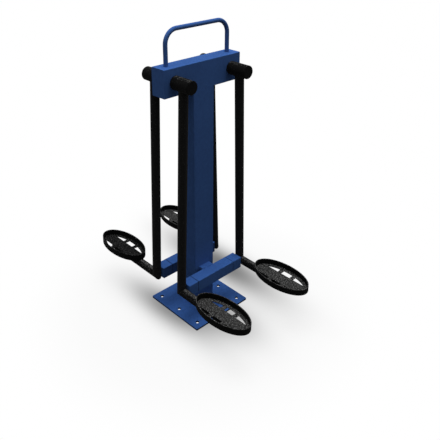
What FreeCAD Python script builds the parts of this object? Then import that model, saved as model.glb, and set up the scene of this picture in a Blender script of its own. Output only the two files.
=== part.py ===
import FreeCAD, Part
import math
import os
import Sketcher
from FreeCAD import Placement, Rotation, Vector

# Two-user outdoor leg abduction trainer, in millimetres. +Z is up and the origin is on the ground under the
# centre of the base plate. X runs along the crossbeam, and the front user stands towards -Y.

SIZES = {
    # Base plate and its anchor holes
    "plate_side": 350,
    "plate_thick": 10,
    "plate_corner": 5,
    "plate_bevel": 1,
    "anchor_pitch": 276,
    "anchor_hole": 18,
    # Hollow sections of the post and of the crossbeam, which share their short side
    "section_long": 120,
    "section_short": 80,
    "section_wall": 4,
    "section_corner": 2,
    "bore_corner": 1,
    "post_height": 1149,
    "beam_height": 123,
    "beam_overhang": 57,
    "end_plate_thick": 4,
    # Handle
    "handle_od": 19.5,
    "handle_wall": 2,
    "handle_inset": 43.75,
    "handle_rise": 148.5,
    "handle_bend": 60,
    # Pivot shafts and the sleeves that hold them in the crossbeam
    "pivot_spacing": 326,
    "shaft_od": 30,
    "thread_od": 24,
    "thread_end": 2,
    "thread_chamfer": 1.5,
    "sleeve_wall": 6,
    "sleeve_fit": 0.02,
    "washer_od": 44,
    "washer_thick": 3,
    "nut_flats": 36,
    "nut_height": 12,
    # Hubs
    "hub_od": 60.3,
    "hub_length": 104,
    "hub_gap": 4,
    "bush_wall": 2,
    "bush_length": 25,
    "flange_od": 42,
    "flange_thick": 2,
    "nut_pocket_od": 48,
    "running_fit": 0.05,
    "end_play": 0.3,
    "cap_thick": 7,
    "cap_bevel": 2.5,
    "cap_spigot": 4,
    "cap_spigot_wall": 1.8,
    "cap_fit": 0.1,
    # Arms and foot tubes
    "arm_od": 42.4,
    "arm_wall": 3.2,
    "arm_station": 50,
    "foot_height": 206.5,
    "tube_end_inset": 79,
    "tube_disc_thick": 3,
    # Foot trays
    "tray_long": 312,
    "tray_wide": 158,
    "tray_offset": 280,
    "rim_height": 31.5,
    "rim_wall": 4,
    "floor_thick": 3,
    "slot_inset": 21.5,
    "slot_chord": 63.5,
    "slot_middle": 53,
    "slot_rib": 21,
    # Bumper bars, their stubs and their buffers
    "bar_side": 60,
    "bar_wall": 3,
    "bar_corner": 2,
    "bar_height": 210,
    "stub_width": 68,
    "stub_length": 27,
    "stub_wall": 3,
    "buffer_fit": 0.2,
    "buffer_insert": 40,
    "buffer_reach": 57.5,
    "buffer_bevel": 1.5,
    # How far past its pivot the buffer meets the arm at rest
    "rest_offset": 13,
    "rest_gap": 0.3,
}

# Where the frame's pieces meet
BEAM_AXIS_Z = "(Sizes.plate_thick + Sizes.post_height + Sizes.beam_height / 2)"
BEAM_TOP_Z = "(Sizes.plate_thick + Sizes.post_height + Sizes.beam_height)"
BEAM_FACE = "(Sizes.section_short / 2)"
BEAM_LENGTH = "(Sizes.pivot_spacing + 2 * Sizes.beam_overhang)"
BEAM_TUBE = f"({BEAM_LENGTH} - 2 * Sizes.end_plate_thick)"
HANDLE_SPAN = f"({BEAM_LENGTH} - 2 * Sizes.handle_inset)"
PIVOT_X = "(Sizes.pivot_spacing / 2)"
ARM_PLANE = f"({BEAM_FACE} + Sizes.hub_gap + Sizes.arm_station)"
BAR_PLANE = f"({BEAM_FACE} + Sizes.stub_length + Sizes.bar_side / 2)"
BAR_LENGTH = f"(2 * ({PIVOT_X} + Sizes.rest_offset - Sizes.buffer_reach))"
INSERT_SIDE = "(Sizes.bar_side - 2 * Sizes.bar_wall - 2 * Sizes.buffer_fit)"

# The hub's stack along its axis, measured outwards from the crossbeam's middle plane
HOUSING_START = f"({BEAM_FACE} + Sizes.hub_gap)"
HOUSING_LENGTH = "(Sizes.hub_length - Sizes.cap_thick)"
HOUSING_END = f"({HOUSING_START} + {HOUSING_LENGTH})"
NUT_POCKET = (
    "(Sizes.flange_thick + 2 * Sizes.end_play + Sizes.washer_thick + Sizes.nut_height + Sizes.thread_end)"
)
OUTER_FLANGE = f"({HOUSING_END} - {NUT_POCKET})"
SHAFT_SHOULDER = f"({OUTER_FLANGE} + Sizes.flange_thick + Sizes.end_play)"
NUT_SEAT = f"({SHAFT_SHOULDER} + Sizes.washer_thick)"
SHAFT_END = f"({NUT_SEAT} + Sizes.nut_height + Sizes.thread_end)"
SLEEVE_LIP = "(Sizes.hub_gap - Sizes.flange_thick - Sizes.end_play)"
SLEEVE_OD = "(Sizes.shaft_od + 2 * Sizes.sleeve_fit + 2 * Sizes.sleeve_wall)"
BUSH_BORE = "(Sizes.shaft_od + 2 * Sizes.running_fit)"
BUSH_SEAT = f"({BUSH_BORE} + 2 * Sizes.bush_wall)"

# At rest the arm leans against the top edge of its buffer: this sets its lean and its length
LEAN_RUN = "(Sizes.rest_offset + Sizes.rest_gap)"
LEAN_DROP = f"({BEAM_AXIS_Z} - Sizes.bar_height - Sizes.bar_side / 2)"
REST_LEAN = (
    f"(asin(Sizes.arm_od / 2 / sqrt({LEAN_RUN}^2 + {LEAN_DROP}^2)) + atan2({LEAN_RUN}; {LEAN_DROP}))"
)
ARM_REACH = f"(({BEAM_AXIS_Z} - Sizes.foot_height) / cos({REST_LEAN}))"
TUBE_RUN = "(Sizes.tray_offset + Sizes.tray_long / 2 - Sizes.tube_end_inset)"

LEFT, RIGHT = -1, 1
FRONT, REAR = -1, 1
SIDES = {"left": LEFT, "right": RIGHT}
ENDS = {"front": FRONT, "rear": REAR}
FULL_TURN = 360
HALF_TURN = 180
QUARTER_TURN = 90
PLATE_CORNER_COUNT = 4
NUT_SIDE_COUNT = 6
UP = Vector(0, 0, 1)
ALONG_X = Vector(1, 0, 0)
ALONG_Y = Vector(0, 1, 0)
# How far a point halfway round a quarter circle moves along each axis, as a share of the radius
DIAGONAL = math.sqrt(0.5)
EDGE_TOLERANCE = 1e-4

doc = FreeCAD.newDocument("LegAbductionTrainer")
sheet = doc.addObject("Spreadsheet::Sheet", "Sizes")
for row, (alias, size) in enumerate(SIZES.items(), start=1):
    sheet.set(f"A{row}", alias)
    sheet.set(f"B{row}", str(size))
    sheet.setAlias(f"B{row}", alias)
doc.recompute()
subparts = []


def value(expression):
    """The number that an expression on the sheet gives."""
    result = sheet.evalExpression(expression)
    return getattr(result, "Value", result)


def name_subpart(feature, label):
    feature.Label = label
    subparts.append(feature)
    return feature


def place(feature, x="0", y="0", z="0"):
    """Bind a sub-part's position to the sheet."""
    feature.setExpression("Placement.Base.x", x)
    feature.setExpression("Placement.Base.y", y)
    feature.setExpression("Placement.Base.z", z)


def new_body(label):
    return name_subpart(doc.addObject("PartDesign::Body", label), label)


def origin_feature(body, role):
    return next(feature for feature in body.Origin.OriginFeatures if feature.Role == role)


def new_sketch(body, role, name, offset="0"):
    """A sketch on one of the body's origin planes, moved along the plane's normal by offset."""
    sketch = body.newObject("Sketcher::SketchObject", name)
    sketch.AttachmentSupport = [(origin_feature(body, role), "")]
    sketch.MapMode = "FlatFace"
    sketch.setExpression("AttachmentOffset.Base.z", offset)
    return sketch


def constrain(sketch, name, expression, kind, *where):
    """Add a dimension to a sketch and bind it to the sheet."""
    index = sketch.addConstraint(Sketcher.Constraint(kind, *where, value(expression)))
    sketch.renameConstraint(index, name)
    sketch.setExpression(f"Constraints.{name}", expression)


def fix_point(sketch, name, point, across, up):
    """Hold a point of a sketch at its distances from the sketch's origin."""
    if across == "0":
        sketch.addConstraint(Sketcher.Constraint("PointOnObject", *point, -2))
    else:
        constrain(sketch, f"{name}_across", across, "DistanceX", -1, 1, *point)
    if up == "0":
        sketch.addConstraint(Sketcher.Constraint("PointOnObject", *point, -1))
    else:
        constrain(sketch, f"{name}_up", up, "DistanceY", -1, 1, *point)


def add_circle(sketch, name, diameter, across="0", up="0"):
    centre = Vector(value(across), value(up), 0)
    circle = sketch.addGeometry(Part.Circle(centre, UP, value(diameter) / 2))
    constrain(sketch, f"{name}_diameter", diameter, "Diameter", circle)
    fix_point(sketch, name, (circle, 3), across, up)


def add_rounded_rectangle(sketch, name, width, height, corner):
    """A rectangle with round corners, centred on the sketch's origin."""
    half_width = value(width) / 2
    half_height = value(height) / 2
    radius = value(corner)
    inner_width = half_width - radius
    inner_height = half_height - radius
    ends = [
        (Vector(-inner_width, -half_height), Vector(inner_width, -half_height)),
        (Vector(half_width, -inner_height), Vector(half_width, inner_height)),
        (Vector(inner_width, half_height), Vector(-inner_width, half_height)),
        (Vector(-half_width, inner_height), Vector(-half_width, -inner_height)),
    ]
    lines = [sketch.addGeometry(Part.LineSegment(start, end)) for start, end in ends]
    arcs = []
    for (_, start), (end, _) in zip(ends, ends[1:] + ends[:1]):
        outwards = Vector(math.copysign(1, start.x + end.x), math.copysign(1, start.y + end.y))
        centre = Vector(outwards.x * inner_width, outwards.y * inner_height)
        middle = centre + outwards * radius * DIAGONAL
        arcs.append(sketch.addGeometry(Part.Arc(start, middle, end)))
    for line, arc, next_line in zip(lines, arcs, lines[1:] + lines[:1]):
        sketch.addConstraint(Sketcher.Constraint("Tangent", line, 2, arc, 1))
        sketch.addConstraint(Sketcher.Constraint("Tangent", arc, 2, next_line, 1))
    bottom, right, top, left = lines
    sketch.addConstraint([Sketcher.Constraint("Horizontal", line) for line in (bottom, top)])
    sketch.addConstraint([Sketcher.Constraint("Vertical", line) for line in (right, left)])
    sketch.addConstraint([Sketcher.Constraint("Equal", arcs[0], arc) for arc in arcs[1:]])
    sketch.addConstraint(Sketcher.Constraint("Symmetric", bottom, 1, top, 1, -1, 1))
    constrain(sketch, f"{name}_corner", corner, "Radius", arcs[0])
    constrain(sketch, f"{name}_width", width, "DistanceX", left, 1, right, 1)
    constrain(sketch, f"{name}_height", height, "DistanceY", bottom, 1, top, 1)


def add_hollow_section(sketch, width, height, wall, corner):
    """The outline and the bore of a rectangular hollow section."""
    add_rounded_rectangle(sketch, "outside", width, height, corner)
    add_rounded_rectangle(
        sketch, "bore", f"{width} - 2 * {wall}", f"{height} - 2 * {wall}", "Sizes.bore_corner"
    )


def pad(body, sketch, length, side_type="One side", reverse=False):
    feature = body.newObject("PartDesign::Pad", f"{sketch.Name}_pad")
    feature.Profile = sketch
    feature.SideType = side_type
    feature.Reversed = reverse
    feature.setExpression("Length", length)
    sketch.Visibility = False
    return feature


def pocket(body, sketch, length=None):
    """Cut a sketch into a body: to a depth against the sketch's normal, or both ways right through."""
    doc.recompute()
    volume_before = body.Shape.Volume
    feature = body.newObject("PartDesign::Pocket", f"{sketch.Name}_pocket")
    feature.Profile = sketch
    if length is None:
        feature.SideType = "Symmetric"
        feature.Type = "ThroughAll"
    else:
        feature.setExpression("Length", length)
    doc.recompute()
    if body.Shape.Volume >= volume_before:
        raise RuntimeError(f"{feature.Name} cuts nothing")
    return feature


def chamfer(body, size, direction, distance):
    """Bevel the edges of the body's flat end that lies at a distance along a direction."""
    doc.recompute()
    base = body.Tip
    end_edges = [
        f"Edge{number}"
        for number, edge in enumerate(base.Shape.Edges, start=1)
        if all(abs(vertex.Point.dot(direction) - distance) < EDGE_TOLERANCE for vertex in edge.Vertexes)
    ]
    feature = body.newObject("PartDesign::Chamfer", f"{base.Name}_bevel")
    feature.Base = (base, end_edges)
    feature.setExpression("Size", size)


def base_plate():
    body = new_body("base_plate")
    outline = new_sketch(body, "XY_Plane", "plate_outline")
    add_rounded_rectangle(outline, "plate", "Sizes.plate_side", "Sizes.plate_side", "Sizes.plate_corner")
    pad(body, outline, "Sizes.plate_thick")
    chamfer(body, "Sizes.plate_bevel", UP, value("Sizes.plate_thick"))
    holes = new_sketch(body, "XY_Plane", "anchor_holes")
    half_pitch = "Sizes.anchor_pitch / 2"
    add_circle(holes, "corner", "Sizes.anchor_hole", half_pitch, half_pitch)
    add_circle(holes, "edge", "Sizes.anchor_hole", half_pitch)
    anchor_cut = pocket(body, holes)
    pattern = body.newObject("PartDesign::PolarPattern", "anchor_pattern")
    pattern.Originals = [anchor_cut]
    pattern.Axis = (origin_feature(body, "Z_Axis"), [""])
    pattern.Angle = FULL_TURN
    pattern.Occurrences = PLATE_CORNER_COUNT
    body.Tip = pattern


def post():
    body = new_body("post")
    section = new_sketch(body, "XY_Plane", "post_section")
    add_hollow_section(
        section, "Sizes.section_long", "Sizes.section_short", "Sizes.section_wall", "Sizes.section_corner"
    )
    pad(body, section, "Sizes.post_height")
    place(body, z="Sizes.plate_thick")


def crossbeam():
    body = new_body("crossbeam")
    section = new_sketch(body, "YZ_Plane", "beam_section")
    add_hollow_section(
        section, "Sizes.section_short", "Sizes.beam_height", "Sizes.section_wall", "Sizes.section_corner"
    )
    pad(body, section, BEAM_TUBE, "Symmetric")
    holes = new_sketch(body, "XZ_Plane", "sleeve_holes")
    for name, side in SIDES.items():
        add_circle(holes, name, SLEEVE_OD, f"{side} * {PIVOT_X}")
    pocket(body, holes)
    place(body, z=BEAM_AXIS_Z)


def beam_end_plate(name, side):
    body = new_body(f"beam_end_plate_{name}")
    outline = new_sketch(body, "YZ_Plane", f"end_plate_outline_{name}")
    add_rounded_rectangle(
        outline, "plate", "Sizes.section_short", "Sizes.beam_height", "Sizes.section_corner"
    )
    pad(body, outline, "Sizes.end_plate_thick", reverse=side == LEFT)
    place(body, x=f"{side} * {BEAM_TUBE} / 2", z=BEAM_AXIS_Z)


def handle():
    """One tube bent to an upturned U, its feet on the crossbeam's top."""
    body = new_body("handle")
    path = new_sketch(body, "XZ_Plane", "handle_path")
    half_span = value(HANDLE_SPAN) / 2
    rise = value("Sizes.handle_rise")
    bend = value("Sizes.handle_bend")
    foot = Vector(-half_span, 0)
    leg_top = Vector(-half_span, rise - bend)
    bar_start = Vector(-half_span + bend, rise)
    slant = bend * (1 - DIAGONAL)
    bend_middle = Vector(-half_span + slant, rise - slant)

    def mirrored(point):
        return Vector(-point.x, point.y)

    left_leg = path.addGeometry(Part.LineSegment(foot, leg_top))
    left_bend = path.addGeometry(Part.Arc(leg_top, bend_middle, bar_start))
    bar = path.addGeometry(Part.LineSegment(bar_start, mirrored(bar_start)))
    right_bend = path.addGeometry(Part.Arc(mirrored(bar_start), mirrored(bend_middle), mirrored(leg_top)))
    right_leg = path.addGeometry(Part.LineSegment(mirrored(leg_top), mirrored(foot)))
    # An arc runs anticlockwise, so both bends start at their right-hand end
    joints = [(left_leg, 2, left_bend, 2), (left_bend, 1, bar, 1), (bar, 2, right_bend, 2)]
    joints.append((right_bend, 1, right_leg, 1))
    path.addConstraint([Sketcher.Constraint("Tangent", *joint) for joint in joints])
    path.addConstraint([Sketcher.Constraint("Vertical", leg) for leg in (left_leg, right_leg)])
    path.addConstraint(Sketcher.Constraint("Horizontal", bar))
    path.addConstraint(Sketcher.Constraint("Equal", left_bend, right_bend))
    fix_point(path, "left_foot", (left_leg, 1), f"-{HANDLE_SPAN} / 2", "0")
    fix_point(path, "right_foot", (right_leg, 2), f"{HANDLE_SPAN} / 2", "0")
    constrain(path, "bend", "Sizes.handle_bend", "Radius", left_bend)
    constrain(path, "rise", "Sizes.handle_rise", "DistanceY", left_leg, 1, bar, 1)
    section = new_sketch(body, "XY_Plane", "handle_section")
    add_circle(section, "outside", "Sizes.handle_od", f"-{HANDLE_SPAN} / 2")
    add_circle(section, "bore", "Sizes.handle_od - 2 * Sizes.handle_wall", f"-{HANDLE_SPAN} / 2")
    doc.recompute()
    tube = body.newObject("PartDesign::AdditivePipe", "handle_tube")
    tube.Profile = section
    tube.Spine = path
    body.Tip = tube
    place(body, z=BEAM_TOP_Z)


def shaft_sleeve(name, side):
    body = new_body(f"shaft_sleeve_{name}")
    section = new_sketch(body, "XZ_Plane", f"sleeve_section_{name}")
    add_circle(section, "outside", SLEEVE_OD)
    add_circle(section, "bore", "Sizes.shaft_od + 2 * Sizes.sleeve_fit")
    pad(body, section, f"Sizes.section_short + 2 * {SLEEVE_LIP}", "Symmetric")
    place(body, x=f"{side} * {PIVOT_X}", z=BEAM_AXIS_Z)


def pivot_shaft(name, side):
    """A shaft through the crossbeam, stepped down to a thread at each end."""
    body = new_body(f"pivot_shaft_{name}")
    journal = new_sketch(body, "XZ_Plane", f"journal_{name}")
    add_circle(journal, "journal", "Sizes.shaft_od")
    pad(body, journal, f"2 * {SHAFT_SHOULDER}", "Symmetric")
    thread = new_sketch(body, "XZ_Plane", f"thread_{name}")
    add_circle(thread, "thread", "Sizes.thread_od")
    pad(body, thread, f"2 * {SHAFT_END}", "Symmetric")
    for end in ENDS.values():
        chamfer(body, "Sizes.thread_chamfer", ALONG_Y * end, value(SHAFT_END))
    place(body, x=f"{side} * {PIVOT_X}", z=BEAM_AXIS_Z)


def cylinder(name, diameter, height, start="0"):
    """A round bar along +Z, from start up."""
    feature = doc.addObject("Part::Cylinder", name)
    feature.setExpression("Radius", f"({diameter}) / 2")
    feature.setExpression("Height", height)
    feature.setExpression("Placement.Base.z", start)
    return feature


def boolean(kind, name, base, tool):
    feature = doc.addObject(f"Part::{kind}", name)
    feature.Base = base
    feature.Tool = tool
    return feature


def group(label, pieces):
    """One sub-part that holds several separate solids."""
    compound = name_subpart(doc.addObject("Part::Compound", label), label)
    compound.Links = pieces
    return compound


def shaft_end_hardware():
    """The thrust washers and the lock nuts, one of each on every shaft end."""
    washers = []
    nuts = []
    for end_name, end in ENDS.items():
        for side_name, side in SIDES.items():
            name = f"{end_name}_{side_name}"
            washer = boolean(
                "Cut",
                f"washer_{name}",
                cylinder(f"washer_disc_{name}", "Sizes.washer_od", "Sizes.washer_thick"),
                cylinder(f"washer_hole_{name}", "Sizes.thread_od", "Sizes.washer_thick"),
            )
            hexagon = doc.addObject("Part::Prism", f"nut_hexagon_{name}")
            hexagon.Polygon = NUT_SIDE_COUNT
            half_side = f"{HALF_TURN}deg / {NUT_SIDE_COUNT}"
            hexagon.setExpression("Circumradius", f"Sizes.nut_flats / 2 / cos({half_side})")
            hexagon.setExpression("Height", "Sizes.nut_height")
            nut = boolean(
                "Cut",
                f"nut_{name}",
                hexagon,
                cylinder(f"nut_thread_{name}", "Sizes.thread_od", "Sizes.nut_height"),
            )
            outwards = Rotation(ALONG_X, -QUARTER_TURN * end)
            for piece, seat in ((washer, SHAFT_SHOULDER), (nut, NUT_SEAT)):
                spot = Vector(side * value(PIVOT_X), end * value(seat), value(BEAM_AXIS_Z))
                piece.Placement = Placement(spot, outwards)
            washers.append(washer)
            nuts.append(nut)
    group("thrust_washers", washers)
    group("shaft_lock_nuts", nuts)


def bumper_bar(name, end):
    body = new_body(f"bumper_bar_{name}")
    section = new_sketch(body, "YZ_Plane", f"bar_section_{name}")
    add_hollow_section(section, "Sizes.bar_side", "Sizes.bar_side", "Sizes.bar_wall", "Sizes.bar_corner")
    pad(body, section, BAR_LENGTH, "Symmetric")
    place(body, y=f"{end} * {BAR_PLANE}", z="Sizes.bar_height")


def bumper_stub(name, end):
    body = new_body(f"bumper_stub_{name}")
    section = new_sketch(body, "XZ_Plane", f"stub_section_{name}")
    add_hollow_section(section, "Sizes.stub_width", "Sizes.bar_side", "Sizes.stub_wall", "Sizes.bar_corner")
    pad(body, section, "Sizes.stub_length", "Symmetric")
    place(body, y=f"{end} * ({BEAM_FACE} + Sizes.stub_length / 2)", z="Sizes.bar_height")


def buffer(end_name, side_name):
    """A block flush with the bar, bevelled at its seam and its tip, with an insert in the bar's open end."""
    name = f"{end_name}_{side_name}"
    body = new_body(f"buffer_{name}")
    head = new_sketch(body, "YZ_Plane", f"buffer_head_{name}")
    add_rounded_rectangle(head, "head", "Sizes.bar_side", "Sizes.bar_side", "Sizes.bar_corner")
    pad(body, head, "Sizes.buffer_reach")
    for distance in (0, value("Sizes.buffer_reach")):
        chamfer(body, "Sizes.buffer_bevel", ALONG_X, distance)
    insert = new_sketch(body, "YZ_Plane", f"buffer_insert_{name}")
    add_rounded_rectangle(insert, "insert", INSERT_SIDE, INSERT_SIDE, "Sizes.bore_corner")
    pad(body, insert, "Sizes.buffer_insert", reverse=True)
    side = SIDES[side_name]
    spot = Vector(side * value(BAR_LENGTH) / 2, ENDS[end_name] * value(BAR_PLANE), value("Sizes.bar_height"))
    body.Placement = Placement(spot, Rotation(UP, 0 if side == RIGHT else HALF_TURN))


def arm_placement(end_name, side_name):
    """The arm's own frame: its origin on the pivot axis, -Y towards its user, leaning as at rest."""
    side = SIDES[side_name]
    lean = Rotation(ALONG_Y, -side * value(REST_LEAN))
    facing = Rotation(UP, 0 if end_name == "front" else HALF_TURN)
    return Placement(Vector(side * value(PIVOT_X), 0, value(BEAM_AXIS_Z)), lean * facing)


def hub_housing(name):
    """A thick tube: bored for the bushes, with a pocket for the nut at its outer end."""
    body = new_body(f"hub_housing_{name}")
    section = new_sketch(body, "XZ_Plane", f"housing_section_{name}", HOUSING_START)
    add_circle(section, "outside", "Sizes.hub_od")
    add_circle(section, "bore", BUSH_SEAT)
    pad(body, section, HOUSING_LENGTH)
    nut_pocket = new_sketch(body, "XZ_Plane", f"nut_pocket_{name}", HOUSING_END)
    add_circle(nut_pocket, "pocket", "Sizes.nut_pocket_od")
    pocket(body, nut_pocket, NUT_POCKET)
    return body


def hub_bushes(name):
    """Two flanged plain bushes, one from each end of the housing's bore."""
    bushes = []
    for place_name, flange_face, way in (("inner", HOUSING_START, FRONT), ("outer", OUTER_FLANGE, REAR)):
        label = f"{place_name}_{name}"
        flange = cylinder(f"flange_{label}", "Sizes.flange_od", "Sizes.flange_thick", "-Sizes.flange_thick")
        barrel = cylinder(f"barrel_{label}", BUSH_SEAT, "Sizes.bush_length")
        outside = boolean("Fuse", f"bush_outside_{label}", flange, barrel)
        full_length = "Sizes.bush_length + Sizes.flange_thick"
        bore = cylinder(f"bush_bore_{label}", BUSH_BORE, full_length, "-Sizes.flange_thick")
        bush = boolean("Cut", f"bush_{label}", outside, bore)
        bush.Placement = Placement(Vector(0, -value(flange_face), 0), Rotation(ALONG_X, -QUARTER_TURN * way))
        bushes.append(bush)
    return group(f"hub_bushes_{name}", bushes)


def hub_cap(name):
    """A bevelled disc that plugs into the nut pocket."""
    body = new_body(f"hub_cap_{name}")
    disc = new_sketch(body, "XZ_Plane", f"cap_disc_{name}", HOUSING_END)
    add_circle(disc, "disc", "Sizes.hub_od")
    pad(body, disc, "Sizes.cap_thick")
    chamfer(body, "Sizes.cap_bevel", -ALONG_Y, value(f"{HOUSING_END} + Sizes.cap_thick"))
    spigot = new_sketch(body, "XZ_Plane", f"cap_spigot_{name}", HOUSING_END)
    spigot_od = "Sizes.nut_pocket_od - 2 * Sizes.cap_fit"
    add_circle(spigot, "outside", spigot_od)
    add_circle(spigot, "inside", f"{spigot_od} - 2 * Sizes.cap_spigot_wall")
    pad(body, spigot, "Sizes.cap_spigot", reverse=True)
    return body


def add_mitre(sketch, towards):
    """A right triangle whose long side is the mitre between arm and foot tube."""
    leg = f"{2 * towards} * Sizes.arm_od"
    across = f"-{ARM_PLANE} - {towards} * Sizes.arm_od"
    up = f"-{ARM_REACH} - {towards} * Sizes.arm_od"
    corner = Vector(value(across), value(up))
    across_end = corner + Vector(value(leg), 0)
    up_end = corner + Vector(0, value(leg))
    sides = ((corner, across_end), (across_end, up_end), (up_end, corner))
    flat, slope, upright = [sketch.addGeometry(Part.LineSegment(start, end)) for start, end in sides]
    for first, second in ((flat, slope), (slope, upright), (upright, flat)):
        sketch.addConstraint(Sketcher.Constraint("Coincident", first, 2, second, 1))
    sketch.addConstraint(Sketcher.Constraint("Horizontal", flat))
    sketch.addConstraint(Sketcher.Constraint("Vertical", upright))
    fix_point(sketch, "corner", (flat, 1), across, up)
    constrain(sketch, "leg_across", leg, "DistanceX", flat, 1, flat, 2)
    constrain(sketch, "leg_up", leg, "DistanceY", upright, 2, upright, 1)


def arm_tube(name):
    """A round tube, coped to the hub at its top and mitred to the foot tube at its bottom."""
    body = new_body(f"arm_tube_{name}")
    section = new_sketch(body, "XY_Plane", f"arm_section_{name}")
    add_circle(section, "outside", "Sizes.arm_od", up=f"-{ARM_PLANE}")
    add_circle(section, "bore", "Sizes.arm_od - 2 * Sizes.arm_wall", up=f"-{ARM_PLANE}")
    pad(body, section, f"{ARM_REACH} + Sizes.arm_od / 2", reverse=True)
    cope = new_sketch(body, "XZ_Plane", f"hub_cope_{name}")
    add_circle(cope, "hub", "Sizes.hub_od")
    pocket(body, cope)
    mitre = new_sketch(body, "YZ_Plane", f"arm_mitre_{name}")
    add_mitre(mitre, 1)
    pocket(body, mitre)
    return body


def foot_tube(name):
    """A level tube from the arm's mitre to under the tray."""
    body = new_body(f"foot_tube_{name}")
    section = new_sketch(body, "XZ_Plane", f"foot_section_{name}", f"{ARM_PLANE} - Sizes.arm_od / 2")
    add_circle(section, "outside", "Sizes.arm_od", up=f"-{ARM_REACH}")
    add_circle(section, "bore", "Sizes.arm_od - 2 * Sizes.arm_wall", up=f"-{ARM_REACH}")
    pad(body, section, f"Sizes.arm_od / 2 + {TUBE_RUN}")
    mitre = new_sketch(body, "YZ_Plane", f"foot_mitre_{name}")
    add_mitre(mitre, -1)
    pocket(body, mitre)
    return body


def foot_tube_disc(name):
    body = new_body(f"foot_tube_disc_{name}")
    disc = new_sketch(body, "XZ_Plane", f"tube_disc_{name}", f"{ARM_PLANE} + {TUBE_RUN}")
    add_circle(disc, "disc", "Sizes.arm_od", up=f"-{ARM_REACH}")
    pad(body, disc, "Sizes.tube_disc_thick")
    return body


def oval(name, inset, height, start="0"):
    """An upright oval block, drawn in from the tray's outline by inset."""
    outline = doc.addObject("Part::Ellipse", f"{name}_outline")
    outline.setExpression("MajorRadius", f"Sizes.tray_long / 2 - {inset}")
    outline.setExpression("MinorRadius", f"Sizes.tray_wide / 2 - {inset}")
    outline.setExpression("Placement.Base.z", start)
    block = doc.addObject("Part::Extrusion", name)
    block.Base = outline
    block.DirMode = "Custom"
    block.Dir = UP
    block.Solid = True
    block.setExpression("LengthFwd", height)
    return block


def slot_window(name, start, length, side):
    """A box over one slot: the oval slot zone gives the slot its curved edge."""
    window = doc.addObject("Part::Box", name)
    window.setExpression("Length", length)
    window.setExpression("Width", "Sizes.tray_wide / 2 - Sizes.slot_chord / 2")
    window.setExpression("Height", "Sizes.floor_thick")
    window.setExpression("Placement.Base.x", start)
    near = "Sizes.slot_chord / 2" if side == RIGHT else "-Sizes.tray_wide / 2"
    window.setExpression("Placement.Base.y", near)
    return window


def foot_tray(name):
    """An oval dish with three drain slots along each side of its floor."""
    outside = oval(f"tray_outside_{name}", "0", "Sizes.rim_height")
    hollow_depth = "Sizes.rim_height - Sizes.floor_thick"
    hollow = oval(f"tray_hollow_{name}", "Sizes.rim_wall", hollow_depth, "Sizes.floor_thick")
    dish = boolean("Cut", f"tray_dish_{name}", outside, hollow)
    half_middle = "Sizes.slot_middle / 2"
    end_start = f"({half_middle} + Sizes.slot_rib)"
    end_length = f"(Sizes.tray_long / 2 - {end_start})"
    windows = []
    for side_name, side in SIDES.items():
        label = f"{side_name}_{name}"
        windows.append(slot_window(f"slot_a_{label}", f"-{end_start} - {end_length}", end_length, side))
        windows.append(slot_window(f"slot_b_{label}", f"-{half_middle}", "Sizes.slot_middle", side))
        windows.append(slot_window(f"slot_c_{label}", end_start, end_length, side))
    window_set = doc.addObject("Part::Compound", f"slot_windows_{name}")
    window_set.Links = windows
    slot_zone = oval(f"slot_zone_{name}", "Sizes.slot_inset", "Sizes.floor_thick")
    slots = boolean("Common", f"slots_{name}", slot_zone, window_set)
    tray = name_subpart(boolean("Cut", f"foot_tray_{name}", dish, slots), f"foot_tray_{name}")
    seat = Vector(0, -value(f"{ARM_PLANE} + Sizes.tray_offset"), value(f"Sizes.arm_od / 2 - {ARM_REACH}"))
    return tray, Placement(seat, Rotation(UP, QUARTER_TURN))


def swing_arm(end_name, side_name):
    """Everything that swings together about one end of a pivot shaft."""
    name = f"{end_name}_{side_name}"
    frame = arm_placement(end_name, side_name)
    for make in (hub_housing, hub_bushes, hub_cap, arm_tube, foot_tube, foot_tube_disc):
        make(name).Placement = frame
    tray, seat = foot_tray(name)
    tray.Placement = frame * seat


base_plate()
post()
crossbeam()
handle()
for side_name, side in SIDES.items():
    beam_end_plate(side_name, side)
    shaft_sleeve(side_name, side)
    pivot_shaft(side_name, side)
shaft_end_hardware()
for end_name, end in ENDS.items():
    bumper_bar(end_name, end)
    bumper_stub(end_name, end)
    for side_name in SIDES:
        buffer(end_name, side_name)
        swing_arm(end_name, side_name)
doc.recompute()

for feature in doc.Objects:
    if "Invalid" in feature.State or "Error" in feature.State:
        raise RuntimeError(f"{feature.Label} failed: {feature.State}")
for subpart in subparts:
    if subpart.Shape.isNull() or not subpart.Shape.isValid():
        raise RuntimeError(f"{subpart.Label} has no valid shape")

os.makedirs("parts", exist_ok=True)
for subpart in subparts:
    subpart.Shape.exportStep(f"parts/{subpart.Label}.step")
print(f"{len(subparts)} sub-parts")
print(f"rest lean {value(REST_LEAN):.3f} degrees, arm reach {value(ARM_REACH):.1f} mm")
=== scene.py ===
import math

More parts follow.
